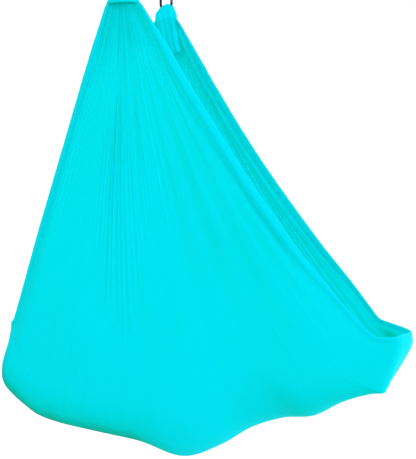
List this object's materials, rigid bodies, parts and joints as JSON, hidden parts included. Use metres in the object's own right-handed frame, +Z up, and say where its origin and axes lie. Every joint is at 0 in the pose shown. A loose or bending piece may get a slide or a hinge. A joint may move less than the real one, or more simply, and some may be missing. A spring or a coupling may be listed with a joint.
{
  "type": "aerial hammock",
  "caption": "Aerial hammock: a deep sling of gathered stretch cloth, knotted at each end and hung by screw-gate carabiners and pocketed webbing straps from ceiling plates.",
  "frame": {"origin": "centre of the front ceiling plate's top face, where it meets the ceiling", "axes": "+X runs from the sling's head end to its foot end, +Y from the front hanging point to the back one, +Z up into the ceiling"},
  "size_m": [1.7033, 0.5664, 2.4108],
  "materials": {
    "cyan_cloth": "matt nylon tricot",
    "black_webbing": "woven polyester webbing",
    "dark_steel": "satin black",
    "plate_steel": "zinc plated",
    "pin_steel": "bright"
  },
  "bodies": {
    "ceiling_mount": {"front_plate": "plate_steel", "front_eye": "plate_steel", "front_head_bolt": "pin_steel", "front_head_washer": "pin_steel", "front_foot_bolt": "pin_steel", "front_foot_washer": "pin_steel", "back_plate": "plate_steel", "back_eye": "plate_steel", "back_head_bolt": "pin_steel", "back_head_washer": "pin_steel", "back_foot_bolt": "pin_steel", "back_foot_washer": "pin_steel"},
    "front_hanger": {"front_upper_carabiner": "dark_steel", "front_upper_hinge_pin": "pin_steel"},
    "back_hanger": {"back_upper_carabiner": "dark_steel", "back_upper_hinge_pin": "pin_steel"},
    "front_strap_band": {"front_strap": "black_webbing"},
    "back_strap_band": {"back_strap": "black_webbing"},
    "sling": {"sling_cloth": "cyan_cloth", "head_hem": "cyan_cloth", "foot_hem": "cyan_cloth", "front_knot": "cyan_cloth", "front_neck_wrap": "cyan_cloth", "front_tail": "cyan_cloth", "front_lower_carabiner": "dark_steel", "front_lower_hinge_pin": "pin_steel", "back_knot": "cyan_cloth", "back_neck_wrap": "cyan_cloth", "back_tail": "cyan_cloth", "back_lower_carabiner": "dark_steel", "back_lower_hinge_pin": "pin_steel"},
    "front_upper_gate_arm": {"front_upper_gate": "dark_steel", "front_upper_latch_pin": "pin_steel", "front_upper_plunger": "pin_steel", "front_upper_gate_spring": "pin_steel"},
    "front_upper_lock": {"front_upper_sleeve": "dark_steel"},
    "front_lower_gate_arm": {"front_lower_gate": "dark_steel", "front_lower_latch_pin": "pin_steel", "front_lower_plunger": "pin_steel", "front_lower_gate_spring": "pin_steel"},
    "front_lower_lock": {"front_lower_sleeve": "dark_steel"},
    "back_upper_gate_arm": {"back_upper_gate": "dark_steel", "back_upper_latch_pin": "pin_steel", "back_upper_plunger": "pin_steel", "back_upper_gate_spring": "pin_steel"},
    "back_upper_lock": {"back_upper_sleeve": "dark_steel"},
    "back_lower_gate_arm": {"back_lower_gate": "dark_steel", "back_lower_latch_pin": "pin_steel", "back_lower_plunger": "pin_steel", "back_lower_gate_spring": "pin_steel"},
    "back_lower_lock": {"back_lower_sleeve": "dark_steel"}
  },
  "joints": [
    {"name": "front_swing", "type": "hinge", "parent": "ceiling_mount", "child": "front_hanger", "pos_m": [0, 0, -0.038], "axis": [0, 1, 0], "range_deg": [-45, 45]},
    {"name": "back_swing", "type": "hinge", "parent": "ceiling_mount", "child": "back_hanger", "pos_m": [0, 0.5, -0.038], "axis": [0, 1, 0], "range_deg": [-45, 45]},
    {"name": "front_sway", "type": "hinge", "parent": "front_hanger", "child": "front_strap_band", "pos_m": [0, 0, -0.1262], "axis": [1, 0, 0], "range_deg": [-20, 20]},
    {"name": "back_sway", "type": "hinge", "parent": "back_hanger", "child": "back_strap_band", "pos_m": [0, 0.5, -0.1262], "axis": [1, 0, 0], "range_deg": [-20, 20]},
    {"name": "sling_level", "type": "hinge", "parent": "front_strap_band", "child": "sling", "pos_m": [0, 0, -0.437], "axis": [1, 0, 0], "range_deg": [-20, 20]},
    {"name": "front_upper_gate_turn", "type": "hinge", "parent": "front_hanger", "child": "front_upper_gate_arm", "pos_m": [0.024, 0, -0.0572], "axis": [0, 1, 0], "range_deg": [0, 25], "stiffness_Nm_per_rad": 0.2, "springref_deg": -11.46},
    {"name": "front_upper_sleeve_slide", "type": "slide", "parent": "front_upper_gate_arm", "child": "front_upper_lock", "axis": [0, 0, -1], "range_m": [0, 0.0125]},
    {"name": "front_lower_gate_turn", "type": "hinge", "parent": "sling", "child": "front_lower_gate_arm", "pos_m": [0.024, 0, -0.467], "axis": [0, 1, 0], "range_deg": [0, 25], "stiffness_Nm_per_rad": 0.2, "springref_deg": -11.46},
    {"name": "front_lower_sleeve_slide", "type": "slide", "parent": "front_lower_gate_arm", "child": "front_lower_lock", "axis": [0, 0, -1], "range_m": [0, 0.0125]},
    {"name": "back_upper_gate_turn", "type": "hinge", "parent": "back_hanger", "child": "back_upper_gate_arm", "pos_m": [0.024, 0.5, -0.0572], "axis": [0, 1, 0], "range_deg": [0, 25], "stiffness_Nm_per_rad": 0.2, "springref_deg": -11.46},
    {"name": "back_upper_sleeve_slide", "type": "slide", "parent": "back_upper_gate_arm", "child": "back_upper_lock", "axis": [0, 0, -1], "range_m": [0, 0.0125]},
    {"name": "back_lower_gate_turn", "type": "hinge", "parent": "sling", "child": "back_lower_gate_arm", "pos_m": [0.024, 0.5, -0.467], "axis": [0, 1, 0], "range_deg": [0, 25], "stiffness_Nm_per_rad": 0.2, "springref_deg": -11.46},
    {"name": "back_lower_sleeve_slide", "type": "slide", "parent": "back_lower_gate_arm", "child": "back_lower_lock", "axis": [0, 0, -1], "range_m": [0, 0.0125]}
  ],
  "couplings": [
    {"joint": "back_swing", "follows": "front_swing", "ratio": 1},
    {"joint": "front_sway", "follows": "sling_level", "ratio": -1},
    {"joint": "back_sway", "follows": "sling_level", "ratio": -1}
  ]
}
